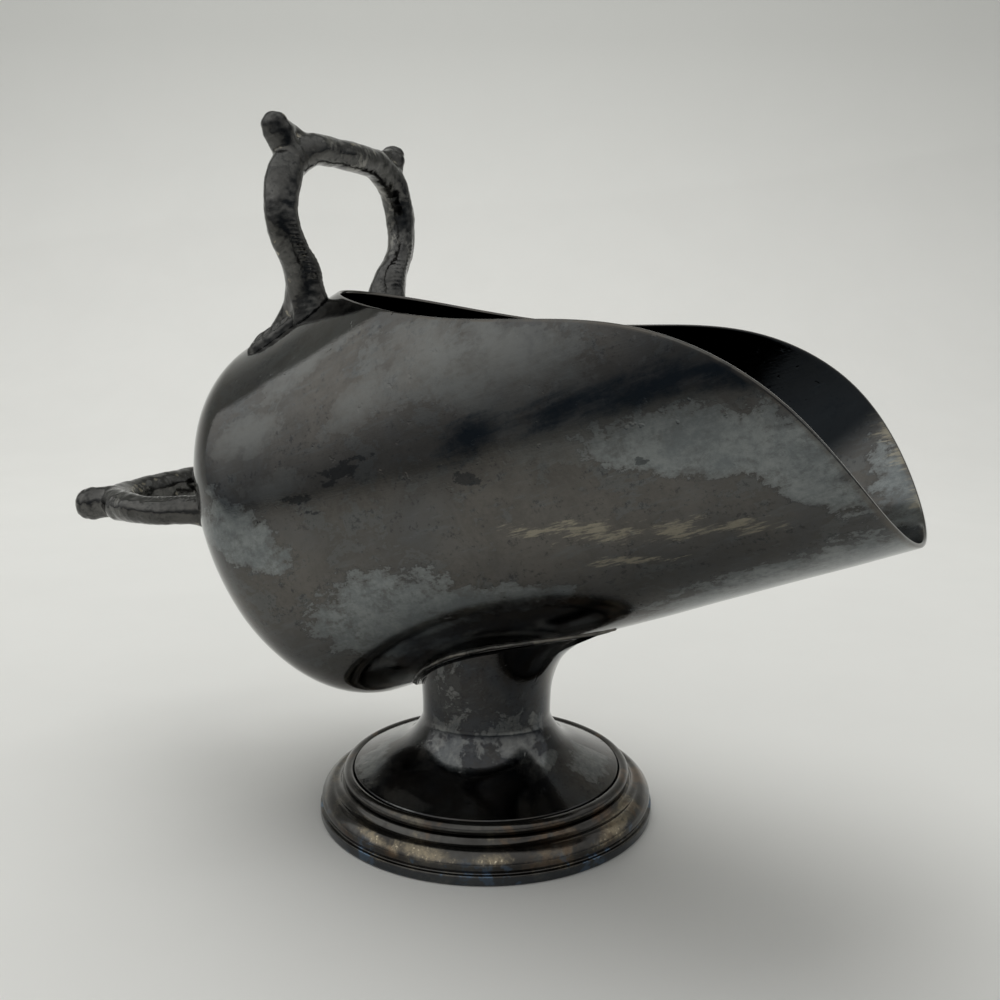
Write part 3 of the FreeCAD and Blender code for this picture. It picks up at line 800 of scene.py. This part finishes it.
# dark film (brown, blue, cloud, streak), pale patches, worn metal, the levels above which patches and wear
# show, least and most roughness, depth of the relief, and the fields that place marks on the piece
METALS = {
    "tarnished_sheet": {
        "dark": (tint(0.118, 0.112, 0.103), tint(0.090, 0.092, 0.093), tint(0.084, 0.080, 0.074),
                 tint(0.034, 0.036, 0.040)),
        "pale": (tint(0.135, 0.148, 0.152), tint(0.215, 0.228, 0.226)), "worn": tint(0.34, 0.31, 0.235),
        "pale_level": 0.72, "worn_level": 1.02, "gloss": (0.05, 0.10), "relief": 0.45,
        "fields": ("pale", "haze", "deep", "thick", "worn", "edge", "inner_shade")},
    "tarnished_foot": {
        "dark": (tint(0.085, 0.078, 0.070), tint(0.050, 0.054, 0.060), tint(0.046, 0.042, 0.038),
                 tint(0.022, 0.024, 0.028)),
        "pale": (tint(0.10, 0.106, 0.108), tint(0.19, 0.192, 0.186)), "worn": tint(0.36, 0.31, 0.22),
        "pale_level": 0.42, "worn_level": 0.97, "gloss": (0.05, 0.10), "relief": 0.4, "fields": ("pale",)},
    "tarnished_casting": {
        "dark": (tint(0.070, 0.067, 0.062), tint(0.125, 0.123, 0.118), tint(0.050, 0.050, 0.049),
                 tint(0.020, 0.022, 0.024)),
        "pale": (tint(0.17, 0.168, 0.158), tint(0.27, 0.262, 0.238)), "worn": tint(0.36, 0.33, 0.26),
        "pale_level": 0.40, "worn_level": 0.94, "gloss": (0.12, 0.22), "relief": 1.0, "fields": ("ridges",)},
    "dull_solder": {
        "dark": (tint(0.10, 0.098, 0.09), tint(0.14, 0.135, 0.125), tint(0.07, 0.07, 0.066),
                 tint(0.04, 0.04, 0.04)),
        "pale": (tint(0.20, 0.19, 0.17), tint(0.26, 0.24, 0.21)), "worn": tint(0.40, 0.36, 0.28),
        "pale_level": 0.30, "worn_level": 0.88, "gloss": (0.26, 0.38), "relief": 0.9, "fields": ()},
}


class Nodes:
    """Short names for building a node tree."""

    def __init__(self, tree):
        self.tree = tree

    def feed(self, socket, value):
        if isinstance(value, bpy.types.NodeSocket):
            self.tree.links.new(value, socket)
        else:
            socket.default_value = value

    def add(self, kind, inputs=None, **settings):
        node = self.tree.nodes.new(kind)
        for key, value in settings.items():
            setattr(node, key, value)
        for key, value in (inputs or {}).items():
            self.feed(node.inputs[key], value)
        return node

    def math(self, operation, a, b, clamp=False):
        return self.add("ShaderNodeMath", {0: a, 1: b}, operation=operation, use_clamp=clamp).outputs[0]

    def times(self, a, b):
        return self.math("MULTIPLY", a, b)

    def total(self, *values):
        result = values[0]
        for value in values[1:]:
            result = self.math("ADD", result, value)
        return result

    def swing(self, value, gain):
        """A noise value, made to swing about zero."""
        return self.times(self.math("SUBTRACT", value, 0.5), gain)

    def ramp(self, value, low, high, to_low=0.0, to_high=1.0):
        return self.add("ShaderNodeMapRange", {0: value, 1: low, 2: high, 3: to_low, 4: to_high},
                        interpolation_type="SMOOTHSTEP").outputs[0]

    def mix(self, share, a, b):
        node = self.add("ShaderNodeMix", data_type="RGBA")
        for socket, value in ((0, share), (6, a), (7, b)):
            self.feed(node.inputs[socket], value)
        return node.outputs[2]

    def dot(self, vector, direction):
        return self.add("ShaderNodeVectorMath", {0: vector, 1: tuple(direction)},
                        operation="DOT_PRODUCT").outputs[1]

    def height_of(self, vector):
        return self.add("ShaderNodeSeparateXYZ", {0: vector}).outputs[2]

    def place(self, stretch=(1, 1, 1), turn_by=(0, 0, 0)):
        """Object coordinates in mm, turned and then stretched."""
        coords = self.add("ShaderNodeTexCoord").outputs["Object"]
        turned_by = self.add("ShaderNodeVectorRotate", {"Vector": coords, "Rotation": turn_by},
                             rotation_type="EULER_XYZ").outputs[0]
        scale = tuple(s / MM for s in stretch)
        return self.add("ShaderNodeVectorMath", {0: turned_by, 1: scale}, operation="MULTIPLY").outputs[0]

    def noise(self, vector, size, detail, roughness, distortion, seed):
        inputs = {"Vector": vector, "W": seed, "Scale": 1 / size, "Detail": detail, "Roughness": roughness,
                  "Distortion": distortion}
        return self.add("ShaderNodeTexNoise", inputs, noise_dimensions="4D").outputs[0]

    def attribute(self, name):
        return self.add("ShaderNodeAttribute", attribute_name=name).outputs["Fac"]


def start_metal(name):
    material = bpy.data.materials.new(name)
    material.use_nodes = True
    material.node_tree.nodes.clear()
    return material, Nodes(material.node_tree)


def finish_metal(n, colour, rough, strength, depth, height):
    """Output of a metal whose relief is given as a height; depth is in mm."""
    relief = {"Strength": strength, "Distance": depth * MM, "Height": height}
    bump = n.add("ShaderNodeBump", relief).outputs[0]
    inputs = {"Base Color": colour, "Metallic": 1.0, "Roughness": rough, "Normal": bump}
    shader = n.add("ShaderNodeBsdfPrincipled", inputs)
    n.add("ShaderNodeOutputMaterial", {"Surface": shader.outputs[0]})


def tarnished(name, dark, pale, worn, pale_level, worn_level, gloss, relief, fields):
    """Silver plate under tarnish: dark film, paler ragged patches, worn high spots, scratches and pits."""
    material, n = start_metal(name)
    plain = n.place()
    along = n.place((0.16, 1, 1), (0, AXIS_TILT * 0.9, 0))
    cloud = n.noise(plain, 30.0, 4.0, 0.55, 0.4, 1.0)
    bloom = n.noise(plain, 13.0, 9.0, 0.70, 0.8, 5.0)
    ragged = n.noise(plain, 6.0, 9.0, 0.72, 0.3, 2.0)
    chips = n.noise(n.place((0.45, 1, 1), (0, AXIS_TILT * 0.9, 0)), 2.6, 6.0, 0.70, 0.4, 12.0)
    fine = n.noise(plain, 0.9, 4.0, 0.75, 0.0, 3.0)
    streak = n.noise(along, 1.5, 7.0, 0.70, 0.0, 4.0)
    hair = n.noise(n.place((0.05, 1.0, 1.0), (0, AXIS_TILT * 0.6, 0)), 0.42, 3.0, 0.7, 0.0, 6.0)
    times, total, swing, ramp, mix = n.times, n.total, n.swing, n.ramp, n.mix

    # dark film, uneven from brown to blue, clouded and streaked along the bowl
    film = mix(ramp(cloud, 0.40, 0.60), dark[0], dark[1])
    film = mix(ramp(total(bloom, swing(fine, 0.3)), 0.36, 0.64, 0.0, 0.9), film, dark[2])
    film = mix(ramp(total(bloom, swing(chips, 0.5)), 0.545, 0.575, 0.0, 0.30), film, pale[0])
    film = mix(ramp(total(streak, swing(fine, 0.4)), 0.52, 0.66, 0.0, 0.30), film, pale[0])
    film = mix(ramp(total(fine, swing(chips, 0.8)), 0.56, 0.70, 0.0, 0.55), film, dark[3])
    # paler patches with a ragged edge
    value = total(swing(cloud, 3.2), swing(ragged, 2.2), -pale_level)
    if "pale" in fields:
        placed = total(n.attribute("pale"), swing(ragged, 1.7), swing(chips, 1.5), swing(fine, 0.5), -0.04)
        value = n.math("MAXIMUM", value, placed)
    pale_mask = times(ramp(value, 0.0, 0.09), ramp(value, 0.0, 0.45, 0.55, 1.0))
    brink = n.math("SUBTRACT", ramp(value, -0.10, 0.0), ramp(value, 0.0, 0.05))
    tone = total(times(bloom, 0.5), times(fine, 0.25), times(chips, 0.25))
    pale_tone = mix(ramp(tone, 0.42, 0.60), pale[0], pale[1])
    cover = ramp(total(times(ragged, 0.4), times(chips, 0.35), times(fine, 0.25)), 0.40, 0.52, 0.50, 1.0)
    if "haze" in fields:
        placed = total(n.attribute("haze"), swing(ragged, 2.4), swing(chips, 1.2))
        placed = times(ramp(placed, 0.0, 0.08, 0.0, 0.75), ramp(placed, 0.0, 0.9, 0.45, 1.0))
        film = mix(times(placed, cover), film, HAZE_TINT)
    colour = mix(times(pale_mask, cover), film, pale_tone)
    colour = mix(times(brink, 0.30), colour, dark[3])
    # film so thick that it turns blue-black, fading at its edge
    if "deep" in fields:
        placed = total(n.attribute("deep"), swing(streak, 1.6), swing(ragged, 1.3), swing(chips, 0.7),
                       swing(fine, 0.4))
        colour = mix(ramp(placed, -0.15, 0.85, 0.0, 0.88), colour, DEEP_TINT)
    # thick dark blotches
    if "thick" in fields:
        placed = total(n.attribute("thick"), swing(chips, 4.5), swing(ragged, 2.0), swing(fine, 0.8))
        colour = mix(ramp(placed, 0.0, 0.16, 0.0, 0.62), colour, THICK_TINT)
    # worn metal
    wear = ramp(total(times(streak, 0.8), times(fine, 0.5), -worn_level), 0.0, 0.10)
    if "worn" in fields:
        placed = total(n.attribute("worn"), swing(streak, 3.6), swing(hair, 3.0), swing(chips, 2.6), -0.20)
        wear = n.math("MAXIMUM", wear, ramp(placed, 0.0, 0.7, 0.0, 0.55))
    colour = mix(times(ramp(hair, 0.68, 0.76, 0.0, 0.35), ramp(bloom, 0.45, 0.60)), colour, pale[1])
    if "edge" in fields:
        rim = times(n.attribute("edge"), ramp(ragged, 0.42, 0.58, 0.25, 0.9))
        colour = mix(rim, colour, EDGE_TINT)
    colour = mix(wear, colour, worn)
    # painted shade deep inside the bowl, away from the lip
    if "inner_shade" in fields:
        colour = mix(times(n.attribute("inner_shade"), 0.93), colour, INNER_SHADE_TINT)
    if "ridges" in fields:
        # ridges are rubbed bright and hollows keep their dirt
        point = n.add("ShaderNodeNewGeometry").outputs["Pointiness"]
        colour = mix(ramp(point, 0.494, 0.472, 0.0, 0.85), colour, DIRT_TINT)
        rubbed = times(ramp(point, 0.506, 0.528), ramp(total(bloom, swing(fine, 0.6)), 0.42, 0.60))
        colour = mix(times(rubbed, 0.7), colour, worn)
    rough = total(ramp(bloom, 0.38, 0.62, gloss[0], gloss[1]), times(pale_mask, 0.06), times(wear, 0.12))
    rough = n.math("ADD", rough, swing(fine, 0.16), clamp=True)
    # relief: the film's edge stands up, with fine scratches and pits
    pits = ramp(n.noise(plain, 1.9, 2.0, 0.5, 0.0, 9.0), 0.66, 0.74, 0.0, -1.6)
    height = total(times(pale_mask, -0.5), times(fine, 0.6), times(chips, 0.6), times(streak, 0.5),
                   times(hair, 0.4), pits)
    finish_metal(n, colour, rough, relief, 0.03, height)
    return material


def foot_moulding_metal():
    """Dark metal, copper and blue where the film is thin, with marks worn to gold that at the front also
    serve as a painted highlight.
    """
    material, n = start_metal("worn_moulding")
    times, total, swing, ramp, mix = n.times, n.total, n.swing, n.ramp, n.mix
    plain = n.place()
    cloud = n.noise(plain, 17.0, 6.0, 0.62, 0.6, 1.0)
    patch = n.noise(plain, 7.0, 8.0, 0.72, 0.4, 2.0)
    fine = n.noise(plain, 0.8, 5.0, 0.75, 0.0, 3.0)
    spots = n.noise(plain, 1.6, 5.0, 0.7, 0.3, 4.0)
    height = n.height_of(plain)
    colour = mix(ramp(cloud, 0.40, 0.60), tint(0.050, 0.047, 0.044), tint(0.085, 0.083, 0.079))
    mottle = total(patch, swing(fine, 0.35))
    colour = mix(ramp(mottle, 0.50, 0.72, 0.0, 0.62), colour, tint(0.235, 0.205, 0.155))
    copper = times(ramp(n.noise(plain, 9.0, 5.0, 0.6, 0.5, 11.0), 0.54, 0.64), ramp(height, 2.6, 3.4))
    colour = mix(times(copper, 0.50), colour, tint(0.165, 0.108, 0.068))
    blue = total(n.noise(plain, 6.0, 3.0, 0.6, 0.5, 8.0), times(spots, 0.5))
    blue = times(ramp(blue, 0.80, 0.86), ramp(height, 6.0, 1.5))
    colour = mix(times(blue, 0.8), colour, tint(0.115, 0.175, 0.255))
    dirt = ramp(total(times(spots, 0.6), times(cloud, 0.4)), 0.50, 0.66, 0.0, 0.62)
    colour = mix(dirt, colour, tint(0.040, 0.037, 0.035))
    # worn gold, mostly at the front where the highlight shows: wear and painted highlight, with brighter
    # painted glints in fine spots
    placed = total(n.attribute("gold_and_highlight"), swing(mottle, 2.2))
    gold_and_highlight = times(ramp(placed, 0.0, 0.95), ramp(spots, 0.36, 0.56, 0.30, 1.0))
    colour = mix(times(gold_and_highlight, 0.80), colour, tint(0.30, 0.252, 0.178))
    colour = mix(times(gold_and_highlight, ramp(fine, 0.56, 0.66, 0.0, 0.75)), colour, tint(0.75, 0.66, 0.50))
    colour = mix(times(ramp(height, 2.0, 1.6), 0.45), colour, tint(0.080, 0.095, 0.112))
    rough = ramp(total(patch, times(fine, 0.3)), 0.5, 0.8, 0.09, 0.26)
    finish_metal(n, colour, rough, 0.5, 0.04, total(times(fine, 0.7), times(spots, 0.8)))
    return material


# ---- fields that place the marks ----

def patch_field(points, patches):
    """Signed field, 1 in the middle of a patch and 0 on its edge, for ovals seen from the side (x, z)."""
    value = np.full(len(points), -3.0)
    for (cx, cz), (length, above, below), turned_by in patches:
        x, z = points[:, 0] - cx, points[:, 2] - cz
        c, s = cos(radians(turned_by)), sin(radians(turned_by))
        across = -x * s + z * c
        q = np.hypot((x * c + z * s) / length, across / np.where(across > 0, above, below))
        value = np.maximum(value, 1 - q)
    return value


def inside_share(piece):
    """1 on the inside of the sheet, 0 outside."""
    inner = np.zeros(len(piece.data.vertices), np.float32)
    piece.data.attributes["inside"].data.foreach_get("value", inner)
    return inner


def bowl_patches(piece, name, right, left, inside):
    """Patches on the right (-Y) and left outside of the bowl, and inside it."""
    points = mesh_points(piece)
    outer = np.where(points[:, 1] < 0, patch_field(points, right), patch_field(points, left))
    set_attribute(piece, name, np.where(inside_share(piece) > 0.5, patch_field(points, inside), outer))


def foot_patches(piece, name, front, back):
    """Patches on a turned piece of the foot, on the side towards the viewer and on the far side."""
    points = mesh_points(piece)
    spread = np.column_stack([points @ VIEW_ACROSS, points[:, 1], points[:, 2]])
    near = points @ VIEW_ALONG < 0
    set_attribute(piece, name, np.where(near, patch_field(spread, front), patch_field(spread, back)))


def darken_inside(piece):
    """Painted shade on the inside of the bowl, fading out towards the lip; 1 is full shade."""
    points = mesh_points(piece)
    from_edge = points[:, [0, 2]] - np.array(INNER_SHADE_EDGE)
    towards_lip = from_edge[:, 0] * INNER_SHADE_ACROSS[0] + from_edge[:, 1] * INNER_SHADE_ACROSS[1]
    set_attribute(piece, "inner_shade", inside_share(piece) * (1 - smooth_step((towards_lip + 3.0) / 8.0)))


# ---- floor, light and camera ----

def card(name, rows, material):
    """A sheet swept sideways across the view, from its outline of distance and height."""
    verts = []
    for forward, up in rows:
        for across in (-FLOOR_HALF_WIDTH, FLOOR_HALF_WIDTH):
            p = VIEW_ALONG * forward + VIEW_ACROSS * across
            verts.append((p[0] * MM, p[1] * MM, up * MM))
    faces = [(2 * r, 2 * r + 1, 2 * r + 3, 2 * r + 2) for r in range(len(rows) - 1)]
    mesh = bpy.data.meshes.new(name)
    mesh.from_pydata(verts, [], faces)
    mesh.polygons.foreach_set("use_smooth", [True] * len(mesh.polygons))
    mesh.materials.append(material)
    sheet = bpy.data.objects.new(name, mesh)
    bpy.context.scene.collection.objects.link(sheet)
    return sheet


def card_material():
    """Matt pale card, with painted shade that makes it a little darker high up, and painted darker to the
    metal's reflections near the front, standing in for the dim room.
    """
    material = bpy.data.materials.new("floor_card")
    material.use_nodes = True
    n = Nodes(material.node_tree)
    shader = material.node_tree.nodes["Principled BSDF"]
    where = n.place()
    grain = n.noise(where, 60.0, 4.0, 0.6, 0.0, 2.0)
    colour = n.mix(n.ramp(grain, 0.3, 0.7), tint(0.80, 0.80, 0.775), tint(0.815, 0.815, 0.79))
    # painted shade: the card is darker higher up
    colour = n.mix(n.ramp(n.height_of(where), 60.0, 600.0), colour, tint(0.60, 0.605, 0.585))
    # painted reflection of the dim room: to glossy rays the card darkens towards its front edge
    mirrored = n.add("ShaderNodeLightPath").outputs["Is Glossy Ray"]
    painted_dim_reflection = n.times(n.ramp(n.dot(where, VIEW_ALONG), -90.0, FLOOR_FRONT, 0.0, 0.78), mirrored)
    colour = n.mix(painted_dim_reflection, colour, tint(0.05, 0.055, 0.06))
    for socket, value in (("Base Color", colour), ("Roughness", 0.8), ("Specular IOR Level", 0.2)):
        n.feed(shader.inputs[socket], value)
    return material


def make_stage():
    """Pale floor that curves up into a backdrop behind the part.

    The sheet the part stands on ends a little in front of it, and the dim room beyond is what the
    metal mirrors; the outer floor carries on for the camera alone.
    """
    material = card_material()
    top, wall = 2200.0, FLOOR_BEND + FLOOR_CURVE
    sweep = [(FLOOR_FRONT, 0.0), (-100.0, 0.0), (0.0, 0.0), (300.0, 0.0), (FLOOR_BEND, 0.0)]
    for a in np.radians(np.linspace(8, 82, 14)):
        sweep.append((FLOOR_BEND + FLOOR_CURVE * sin(a), FLOOR_CURVE - FLOOR_CURVE * cos(a)))
    card("floor", sweep + [(wall, 600.0), (wall, top)], material)
    front = [(OUTER_FLOOR_FRONT, OUTER_FLOOR_DROP), (FLOOR_FRONT + 1, OUTER_FLOOR_DROP)]
    card("outer_floor", front, material).visible_glossy = False


def make_camera():
    up = VIEW_ALONG * sin(VIEW_PITCH) + np.array([0, 0, cos(VIEW_PITCH)])
    back = -(VIEW_ALONG * cos(VIEW_PITCH) - np.array([0, 0, sin(VIEW_PITCH)]))
    c, s = cos(VIEW_ROLL), sin(VIEW_ROLL)
    x_axis = c * VIEW_ACROSS + s * up
    y_axis = -s * VIEW_ACROSS + c * up
    data = bpy.data.cameras.new("camera")
    data.lens = VIEW_LENS
    data.sensor_width = VIEW_SENSOR
    data.clip_start = 0.01
    camera = bpy.data.objects.new("camera", data)
    bpy.context.scene.collection.objects.link(camera)
    matrix = Matrix.Identity(4)
    for k in range(3):
        matrix[k] = (x_axis[k], y_axis[k], back[k], VIEW_FROM[k] * MM)
    camera.matrix_world = matrix
    bpy.context.scene.camera = camera


def make_light():
    """A wide soft light overhead, which the metal doesn't mirror."""
    data = bpy.data.lights.new("overhead", "AREA")
    data.shape = "RECTANGLE"
    data.size = data.size_y = LIGHT_SIZE
    data.energy = LIGHT_POWER
    data.color = LIGHT_COLOUR
    light = bpy.data.objects.new("overhead", data)
    bpy.context.scene.collection.objects.link(light)
    light.location = LIGHT_PLACE
    light.rotation_mode = "QUATERNION"
    light.rotation_quaternion = (-Vector(LIGHT_PLACE)).to_track_quat("-Z", "Y")
    light.visible_glossy = False


def make_world():
    """What the metal mirrors: bright overhead, brightest to the left, above a dim band of room."""
    world = bpy.data.worlds.new("studio")
    bpy.context.scene.world = world
    world.use_nodes = True
    world.node_tree.nodes.clear()
    n = Nodes(world.node_tree)
    direction = n.add("ShaderNodeTexCoord").outputs["Generated"]
    up = n.height_of(direction)
    across = n.dot(direction, VIEW_ACROSS)
    ceiling = n.mix(n.ramp(across, -0.9, 0.5), tint(0.98, 0.985, 0.97), tint(0.55, 0.555, 0.545))
    ceiling = n.mix(n.ramp(up, 0.45, 0.95), ceiling, tint(0.80, 0.81, 0.80))
    band = n.mix(n.ramp(across, -0.9, 0.4), tint(0.22, 0.228, 0.235), tint(0.050, 0.060, 0.074))
    colour = n.mix(n.ramp(up, -0.08, 0.46), band, ceiling)
    path = n.add("ShaderNodeLightPath").outputs
    colour = n.mix(path["Is Diffuse Ray"], colour, tint(0.39, 0.39, 0.385))
    colour = n.mix(path["Is Camera Ray"], colour, tint(0.62, 0.63, 0.61))
    background = n.add("ShaderNodeBackground", {"Color": colour, "Strength": 1.0})
    n.add("ShaderNodeOutputWorld", {"Surface": background.outputs[0]})


# ---- assembly ----

def dress(pieces, material):
    for piece in pieces:
        piece.data.materials.clear()
        piece.data.materials.append(material)


def mark_pieces(bowl, dome, saddle, wires):
    bowl_patches(bowl, "pale", PALE_RIGHT, PALE_LEFT, PALE_INSIDE)
    bowl_patches(bowl, "haze", HAZE_RIGHT, HAZE_LEFT, ())
    bowl_patches(bowl, "thick", THICK_RIGHT, THICK_LEFT, ())
    bowl_patches(bowl, "deep", DEEP_RIGHT, (), ())
    bowl_patches(bowl, "worn", WORN_RIGHT, WORN_LEFT, WORN_INSIDE)
    darken_inside(bowl)
    foot_patches(dome, "pale", DOME_PALE_FRONT, DOME_PALE_BACK)
    foot_patches(saddle, "pale", (), ())
    for piece in wires:
        foot_patches(piece, "gold_and_highlight", GOLD_HIGHLIGHT_FRONT, GOLD_BACK)


def main():
    bowl = make_bowl_sheet()
    moulding = make_moulding()
    dome = make_foot_dome()
    bead = make_bead()
    saddle = make_saddle()
    solder = make_solder_run()
    castings = [
        make_handle("top_handle", TOP_HANDLE_RUN, TOP_HANDLE_SHAPE, stand_on_top, 11),
        make_handle("rear_handle", REAR_HANDLE_RUN, REAR_HANDLE_SHAPE, stand_on_back, 21),
    ]
    for handle, blade, seed in (("top_handle", top_blade, 31), ("rear_handle", rear_blade, 41)):
        for side, word in ((1, "left"), (-1, "right")):
            castings.append(make_leaf(handle + "_leaf_" + word, side, blade, seed + side))

    mark_pieces(bowl, dome, saddle, (moulding, bead))
    metals = {name: tarnished(name, **look) for name, look in METALS.items()}
    dress([bowl], metals["tarnished_sheet"])
    dress([dome, saddle], metals["tarnished_foot"])
    dress([moulding, bead], foot_moulding_metal())
    dress(castings, metals["tarnished_casting"])
    dress([solder], metals["dull_solder"])

    make_stage()
    make_camera()
    make_world()
    make_light()
    bpy.context.scene.view_settings.view_transform = "Standard"


main()
